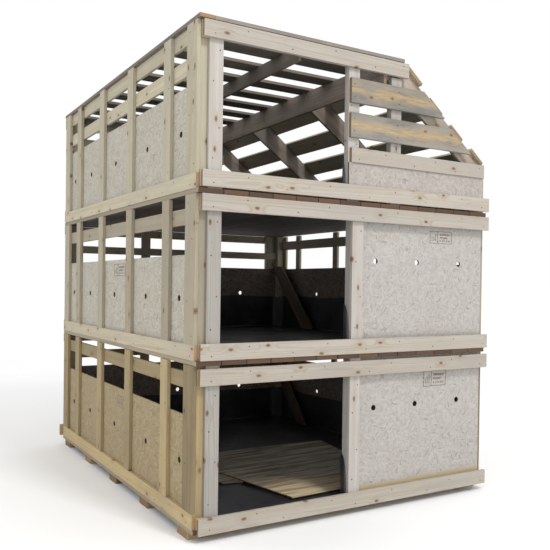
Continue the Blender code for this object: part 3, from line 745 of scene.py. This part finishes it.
def back(tier):
    node = f"{tier}_back_frame"
    low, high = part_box(node)
    upper = tier == "upper"
    boards = Boards(f"{node}_boards", BODY[tier], walls_slot(tier), walls_wood(tier), [node])
    co = [v.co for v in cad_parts[node].data.vertices]
    rail_face = [v for v in co if v.y > high.y - 0.001]
    top = max(v.z for v in rail_face)
    low_rail = min(v.z for v in rail_face)
    upper_right = max(v.x for v in rail_face if v.z > top - 0.01)
    face = (high.y - BOARD, high.y)
    top_rail = (top - (RAIL if upper else BACK_RAIL), top)
    upper_left = min(v.x for v in rail_face if v.z > top - 0.01)
    boards.box((upper_left, upper_right), face, top_rail, 0)
    boards.box((low.x, high.x), face, (low_rail, low_rail + RAIL), 0)
    for z, left, right in ((sum(top_rail) / 2, upper_left, upper_right),
                           (low_rail + RAIL / 2, low.x, high.x)):
        nails[tier].row((left + 0.03, high.y, z), (right - 0.03, high.y, z), (0, 1, 0), (0, 0, RAIL * 0.4),
                        0.25)
    for x in BACK_STUDS:
        width = STUD if upper or x < BACK_STUDS[-1] else CORNER_BOARD
        stud_top = max(v.z for v in co
                       if abs(v.y - (BACK - 2 * BOARD)) < 2 * SMALL and x - SMALL < v.x < x + width + SMALL)
        boards.box((x, x + width), (BACK - 2 * BOARD, BACK - BOARD), (low.z, stud_top), 2)
        middle = x + width / 2
        nails[tier].row((middle, BACK - BOARD, low_rail + RAIL + 0.04),
                        (middle, BACK - BOARD, stud_top - 0.12), (0, 1, 0), (width * 0.5, 0, 0), 0.25)
    inner = [v.x for v in co if v.y < BACK - 2 * BOARD - 0.002]
    bottom = low.z + BACK_SLAT_UP
    slat = (SLAT_Z[tier], SLAT_Z[tier] + RAIL) if upper else (bottom, bottom + BACK_SLAT)
    boards.box((min(inner), max(inner)), (BACK - 3 * BOARD, BACK - 2 * BOARD), slat, 0)
    boards.done()


def brace(tier):
    """The plank inside the right wall, with the outline of its CAD solid."""
    node = f"{tier}_brace"
    low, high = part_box(node)
    side = sorted({(round(v.co.y, 4), round(v.co.z, 4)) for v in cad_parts[node].data.vertices
                   if v.co.x < low.x + 0.001})
    middle = (sum(p[0] for p in side) / len(side), sum(p[1] for p in side) / len(side))
    outline = sorted(side, key=lambda p: math.atan2(p[1] - middle[1], p[0] - middle[0]))
    boards = Boards(f"{node}_board", BODY[tier], walls_slot(tier), WOOD["pine_shaded_inside"], [node])
    boards.prism(outline, 0, low.x, high.x, Vector((0, high.y - low.y, high.z - low.z)))
    boards.done()


def loose():
    """The two loose plywood sheets."""
    for node, body in (("loose_sheet", "loose_sheet"), ("loose_offcut", "lower_tier")):
        low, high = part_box(node)
        top = [v.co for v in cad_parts[node].data.vertices if v.co.z > high.z - 0.001]
        middle = sum(top, Vector()) / len(top)
        points = sorted({(round(v.x, 4), round(v.y, 4)) for v in top},
                        key=lambda p: math.atan2(p[1] - middle.y, p[0] - middle.x))
        boards = Boards(f"{node}_ply", body, "plywood", PLY, [node])
        boards.prism(points, 2, low.z, high.z, Vector((1, 0.05, 0)), chamfer=0.0006)
        boards.done()


def roof():
    low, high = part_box("roof_boards")
    boards = Boards("roof_boards_sawn", "upper_tier", "pine_side", WOOD["roof_wood"], ["roof_boards"])
    z = (high.z - BOARD, high.z)
    cap = low.x + RAIL
    boards.box((low.x, cap), (low.y, high.y), z, 1)
    edges = [(low.y, low.y + ROOF_END_BOARD), (high.y - ROOF_END_BOARD, high.y)]
    edges += [(ROOF_FIRST_BACK + n * ROOF_PITCH - ROOF_BOARD, ROOF_FIRST_BACK + n * ROOF_PITCH)
              for n in range(ROOF_BOARDS)]
    for y in edges:
        boards.box((cap + 0.0005, high.x - draw.uniform(0, 0.006)), y, z, 0, rough=0.001,
                   tone=ROOF_EDGE_TONE if y[0] == low.y else None)
        for x in (cap + 0.03, JOIST_X + 0.011, high.x - 0.15):
            for at in (y[0] + 0.03, y[1] - 0.03):
                nails["upper"].head((x, at, high.z), (0, 0, 1))
    reach = -FRONT_OSB - POST - 3 * GAP
    boards.box((JOIST_X, JOIST_X + BOARD), (-reach, reach), (low.z, high.z - BOARD - 0.0003), 1)
    boards.done()
    nails["upper"].row((low.x + RAIL / 2, low.y + 0.03, high.z), (low.x + RAIL / 2, high.y - 0.03, high.z),
                       (0, 0, 1), (0.05, 0, 0), 0.2)


def slope():
    """Ridge beam, rafters and the four slats."""
    low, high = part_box("slope_frame")
    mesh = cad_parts["slope_frame"].data
    boards = Boards("slope_frame_boards", "upper_tier", "pine_side", WOOD["slope_wood"], ["slope_frame"])
    boards.box((low.x, low.x + BOARD), (low.y, high.y - 0.001), (high.z - BEAM, high.z), 1)
    thick = BOARD - 2 * GAP
    front_rafter = FRONT_RAFTER_BACK - high.y
    first = sorted({(round(v.co.x, 4), round(v.co.z, 4)) for v in mesh.vertices
                    if abs(v.co.y - front_rafter) < 0.0005 and v.co.x > low.x + BOARD - 0.0005})
    middle = Vector((sum(p[0] for p in first) / len(first), sum(p[1] for p in first) / len(first)))
    outline = sorted(first, key=lambda p: math.atan2(p[1] - middle.y, p[0] - middle.x))
    slats = [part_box(f"slope_slat_{n}") for n in range(1, 5)]
    down = Vector((slats[-1][1].x - slats[0][0].x, 0, slats[-1][0].z - slats[0][1].z)).normalized()
    for number in range(RAFTERS):
        y = front_rafter + (high.y - thick - front_rafter) * number / (RAFTERS - 1)
        # The front rafter gets the paler tone: painted light.
        boards.prism(outline, 1, y, y + thick, down, tone=None if number else FRONT_RAFTER_LIT_TONE)
    boards.done()
    out = Vector((-down.z, 0, down.x))
    for number, (a, b) in enumerate(slats, start=1):
        node = f"slope_slat_{number}"
        corners = sorted({(round(v.co.x, 5), round(v.co.z, 5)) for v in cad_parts[node].data.vertices},
                         key=lambda p: Vector((p[0], 0, p[1])).dot(down))
        start = max(corners[:2], key=lambda p: Vector((p[0], 0, p[1])).dot(out))
        wide = abs(Vector((corners[2][0] - corners[0][0], 0, corners[2][1] - corners[0][1])).dot(down))
        piece = Boards(f"{node}_board", "upper_tier", "pine_side", WOOD["pine_side"], [node])
        piece.board(Vector((start[0], a.y, start[1])), Vector((0, 1, 0)), down, Vector((0, 1, 0)).cross(down),
                    (b.y - a.y, wide, BOARD), rough=0.0015)
        piece.done()


# ---------------------------------------------------------------- membranes

def liner(tier):
    """A membrane over the deck, folded up the walls and around the posts, with a loose wavy edge.

    It starts and stops beside the door with a rounded flap, and its front edge turns up behind the rail.
    """
    node = f"{tier}_liner"
    low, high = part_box(node)
    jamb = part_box(f"{tier}_door_jamb")
    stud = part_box(f"{tier}_front_left_stud")[1].x
    rise = LINER_RISE if tier == "upper" else high.z - low.z
    side, back_y = high.x - 0.002, high.y - 0.003
    post_in = SIDE_IN - POST_WIDTH - 0.002
    near, far = FRONT_IN + POST + 0.003, POST_BACK - 0.003
    sill = FRONT_STUD + 0.001
    behind = FRONT_IN + 0.002
    post_left, post_right, post_back = jamb[0].x - 0.003, jamb[0].x + POST + 0.003, jamb[1].y + 0.003
    path = [(post_left, sill + 0.016), (post_left, post_back), (post_right, post_back), (post_right, behind),
            (post_in, behind), (post_in, near), (side, near), (side, far), (post_in, far), (post_in, back_y),
            (-post_in, back_y), (-post_in, far), (-side, far), (-side, near), (stud - 0.02, near),
            (stud + 0.004, near), (stud + 0.004, sill + 0.03)]
    points, starts = [], []
    for a, b in zip(path, path[1:]):
        run = Vector(b) - Vector(a)
        steps = max(1, round(run.length / (LINER_WAVE if starts else LINER_FLAP)))
        starts.append(len(points))
        points += [Vector(a) + run * i / steps for i in range(steps)]
    points.append(Vector(path[-1]))
    lengths = [0.0]
    for p, q in zip(points, points[1:]):
        lengths.append(lengths[-1] + (q - p).length)
    bm = bmesh.new()
    floor_z = low.z + 0.002
    rings = [[bm.verts.new((p.x, p.y, floor_z)) for p in points]]
    middle = Vector((0.0, 0.0))
    phase = draw.uniform(0, 6)
    for level, share in enumerate((0.04, 0.2, 0.4, 0.6, 0.8, 0.92, 1.0)):
        ring = []
        for i, p in enumerate(points):
            inward = (middle - p).normalized()
            wave = 0.5 + 0.5 * math.sin(i * 0.9 + phase + level * 0.4)
            lean = share * (0.003 + 0.005 * wave) if level else 0.001
            end = min(lengths[i], lengths[-1] - lengths[i])
            near_end = min(1.0, end / 0.045)
            flap = 0.10 + 0.90 * math.sqrt(1 - (1 - near_end) ** 2) if share > 0.3 else 1.0
            sag = share ** 4 * (0.003 + 0.012 * (0.5 + 0.5 * math.sin(i * 0.37 + phase)))
            up = max(share * rise * flap - sag, share * 0.02)
            if i < starts[1] and share > 0.04:
                inward = Vector((-1.0, 0.0))
                lean = 0.004 + 0.012 * math.sin(math.pi * share) * (1 - 0.6 * near_end)
            ring.append(bm.verts.new((p.x + inward.x * lean, p.y + inward.y * lean, floor_z + up)))
        rings.append(ring)
    for a, b in zip(rings, rings[1:]):
        for i in range(len(points) - 1):
            bm.faces.new((a[i], a[i + 1], b[i + 1], b[i]))
    left_x, right_x = stud + 0.004, post_left
    lip = [bm.verts.new((left_x + (right_x - left_x) * i / LIP_POINTS, sill, floor_z))
           for i in range(LIP_POINTS + 1)]
    floor = bm.faces.new(rings[0] + lip)
    bmesh.ops.triangulate(bm, faces=[floor])
    below = lip
    for level, up in enumerate((0.012, 0.030, 0.046)):
        row = [bm.verts.new((v.co.x, sill + 0.0005 + 0.003 * level * (0.5 + 0.5 * math.sin(i * 0.8 + phase)),
                             floor_z + up - 0.006 * level * (0.5 + 0.5 * math.sin(i * 0.5))))
               for i, v in enumerate(lip)]
        for i in range(LIP_POINTS):
            bm.faces.new((below[i], below[i + 1], row[i + 1], row[i]))
        below = row
    bmesh.ops.recalc_face_normals(bm, faces=bm.faces[:])
    mesh = bpy.data.meshes.new(f"{tier}_membrane")
    bm.to_mesh(mesh)
    bm.free()
    for p in mesh.polygons:
        p.use_smooth = len(p.vertices) == 4
    obj = bpy.data.objects.new(f"{tier}_membrane", mesh)
    bpy.context.scene.collection.objects.link(obj)
    mesh.materials.append(BLACK)
    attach(obj, BODY[tier])
    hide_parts(node)


# ---------------------------------------------------------------- panels and stamps

def panels():
    """OSB panels keep their CAD shape; each wall has its own flake plane and painted shade on its inner face.
    """
    front_osb = strand_board("osb_front", (0, 2, 1), inner_axis=1, inner_sign=1, **OSB_FRONT)
    upper_front_osb = strand_board("osb_front_upper", (0, 2, 1), inner_axis=1, inner_sign=1, **OSB_UPPER)
    band_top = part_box("lower_front_bottom_rail")[1].z + 0.03
    lower_front = strand_board("osb_front_lower", (0, 2, 1), inner_axis=1, inner_sign=1,
                               band=((0.48, 0.390, 0.235), band_top), **OSB_FRONT)
    left = strand_board("osb_left", (1, 2, 0), inner_axis=0, inner_sign=1, **OSB_SIDE)
    lower_left = strand_board("osb_left_lower", (1, 2, 0), inner_axis=0, inner_sign=1, **OSB_OCHRE)
    right = strand_board("osb_right", (1, 2, 0), inner_axis=0, inner_sign=-1, **OSB_SIDE)
    rear = strand_board("osb_back", (0, 2, 1), inner_axis=1, inner_sign=-1, **OSB_SIDE)
    own = {("lower", "front"): lower_front, ("upper", "front"): upper_front_osb,
           ("lower", "left"): lower_left}
    for tier in TIERS:
        for wall, mat in (("front", front_osb), ("left", left), ("right", right), ("back", rear)):
            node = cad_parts[f"{tier}_{wall}_osb"]
            node.data.materials.clear()
            node.data.materials.append(own.get((tier, wall), mat))


def stamp(name, body, corner, across, up, size, normal):
    """A generic inked mark: a frame, a divider, two bars and a row of dots."""
    bm = bmesh.new()
    corner, across, up, normal = Vector(corner), Vector(across), Vector(up), Vector(normal)

    def bar(u0, v0, u1, v1):
        points = [corner + across * u * size[0] + up * v * size[1] + normal * 0.0004
                  for u, v in ((u0, v0), (u1, v0), (u1, v1), (u0, v1))]
        bm.faces.new([bm.verts.new(p) for p in points])

    for edge in ((0, 0, 1, 0.05), (0, 0.95, 1, 1), (0, 0.05, 0.03, 0.95), (0.97, 0.05, 1, 0.95),
                 (0.34, 0.05, 0.37, 0.95), (0.44, 0.66, 0.90, 0.80), (0.44, 0.42, 0.78, 0.54)):
        bar(*edge)
    for number in range(5):
        bar(0.44 + number * 0.1, 0.18, 0.49 + number * 0.1, 0.30)
    for number in range(3):
        bar(0.08 + number * 0.08, 0.2, 0.12 + number * 0.08, 0.5 + number * 0.12)
    mesh = bpy.data.meshes.new(name)
    bm.to_mesh(mesh)
    bm.free()
    obj = bpy.data.objects.new(name, mesh)
    bpy.context.scene.collection.objects.link(obj)
    mesh.materials.append(INK)
    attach(obj, body)


def stamps():
    right, left, forward, up = (1, 0, 0), (-1, 0, 0), (0, -1, 0), (0, 0, 1)
    side = GAP - SIDE_IN
    stamp("stamp_middle_side", "middle_tier", (side, 0.070, 1.520), forward, up, (0.240, 0.090), left)
    stamp("stamp_lower_side", "lower_tier", (side, -0.022, 0.567), forward, up, (0.198, 0.083), left)
    stamp("stamp_middle", "middle_tier", (0.638, FRONT_OSB, 1.773), right, up, (0.214, 0.087), forward)
    stamp("stamp_lower", "lower_tier", (0.595, FRONT_OSB, 0.777), right, up, (0.218, 0.111), forward)


# ---------------------------------------------------------------- stage

def camera():
    """The photograph's view, turned from +Y by its heading, pitch and roll."""
    data = bpy.data.cameras.new("camera")
    data.lens = LENS
    data.sensor_width = SENSOR
    data.shift_x, data.shift_y = SHIFT
    cam = bpy.data.objects.new("camera", data)
    level = Vector((math.sin(HEADING), math.cos(HEADING), 0.0))
    look = level * math.cos(PITCH) + Vector((0.0, 0.0, math.sin(PITCH)))
    right = Vector((math.cos(HEADING), -math.sin(HEADING), 0.0))
    up = right.cross(look)
    right, up = right * math.cos(ROLL) + up * math.sin(ROLL), up * math.cos(ROLL) - right * math.sin(ROLL)
    turn = Matrix((right, up, -look)).transposed().to_4x4()
    cam.matrix_world = Matrix.Translation(CAMERA_PLACE) @ turn
    bpy.context.scene.collection.objects.link(cam)
    bpy.context.scene.camera = cam


def area_light(name, place, target, size, watts):
    data = bpy.data.lights.new(name, "AREA")
    data.size = size
    data.energy = watts
    lamp = bpy.data.objects.new(name, data)
    lamp.location = place
    lamp.rotation_euler = (Vector(target) - Vector(place)).to_track_quat("-Z", "Y").to_euler()
    bpy.context.scene.collection.objects.link(lamp)


def stage():
    s = Shader("studio_floor", 0.9)
    tint = s.noise(s.scaled(s.position(), (0.7, 0.7, 0.7)), detail=3.0)
    x, y, _ = s.split(s.position())
    away = s.math("SQRT", s.math("ADD", s.math("MULTIPLY", x, x), s.math("MULTIPLY", y, y)))
    # Painted light: the floor glows faintly from 4 m out, so that it fades into the white sky.
    s.bsdf.inputs["Emission Color"].default_value = (1.0, 1.0, 1.0, 1.0)
    s.put(s.bsdf.inputs["Emission Strength"], s.math("MULTIPLY", s.step(away, 4.0, 16.0), 0.10))
    s.finish(s.mix(tint, (0.89, 0.89, 0.89), (0.92, 0.92, 0.92)))
    mesh = bpy.data.meshes.new("studio_floor")
    bm = bmesh.new()
    bmesh.ops.create_grid(bm, x_segments=1, y_segments=1, size=60)
    bm.to_mesh(mesh)
    bm.free()
    floor = bpy.data.objects.new("studio_floor", mesh)
    mesh.materials.append(s.mat)
    bpy.context.scene.collection.objects.link(floor)

    world = bpy.data.worlds.new("sky")
    world.use_nodes = True
    world.node_tree.nodes["Background"].inputs["Color"].default_value = (1.0, 1.0, 1.0, 1.0)
    world.node_tree.nodes["Background"].inputs["Strength"].default_value = 1.0
    bpy.context.scene.world = world
    area_light("key", (0.4, -7.2, 9.2), (0, 0, 1.3), 1.6, 430)
    area_light("fill", (-8.0, -3.0, 4.0), (0, 0, 1.3), 5.0, 60)
    bpy.context.scene.view_settings.view_transform = "Standard"


# ---------------------------------------------------------------- build

camera()
skids()
for name in TIERS:
    deck(name)
    liner(name)
    front(name)
    side_frame(name, "left")
    side_frame(name, "right")
    back(name)
    if name != "upper":
        brace(name)
upper_front()
loose()
roof()
slope()
panels()
stamps()
for heads in nails.values():
    heads.done()
stage()
